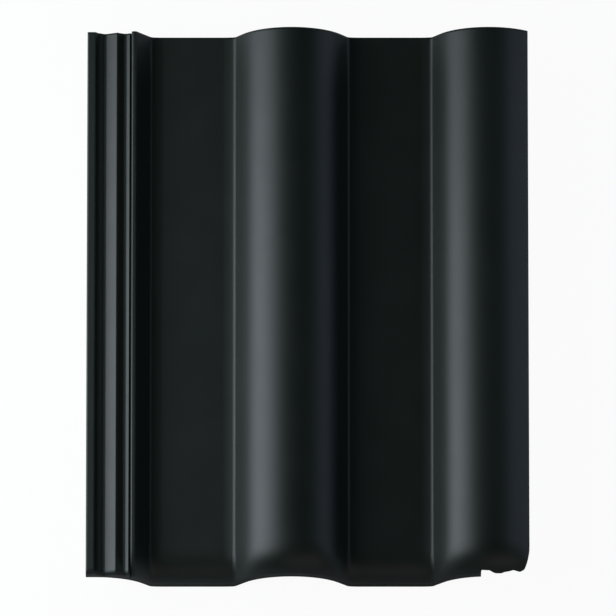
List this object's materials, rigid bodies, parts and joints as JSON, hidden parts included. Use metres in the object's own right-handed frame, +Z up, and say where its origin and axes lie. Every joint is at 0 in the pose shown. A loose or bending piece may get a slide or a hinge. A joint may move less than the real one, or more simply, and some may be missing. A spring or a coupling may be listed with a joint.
{
  "type": "roof pantile",
  "caption": "Interlocking concrete roof pantile with rounded rolls, flat pans, a rounded front edge, side locks and hanging nibs, coated satin black.",
  "frame": {"origin": "centre of the tile's outline, on the floor that its foot and nibs rest on", "axes": "+X across the slope towards the covering lock, +Y up the slope towards the head, +Z up, out of the roof"},
  "size_m": [0.332, 0.42, 0.0583],
  "materials": {
    "coated_concrete": "satin black coat on dense concrete"
  },
  "bodies": {
    "root": {"roof_pantile": "coated_concrete"}
  },
  "joints": []
}
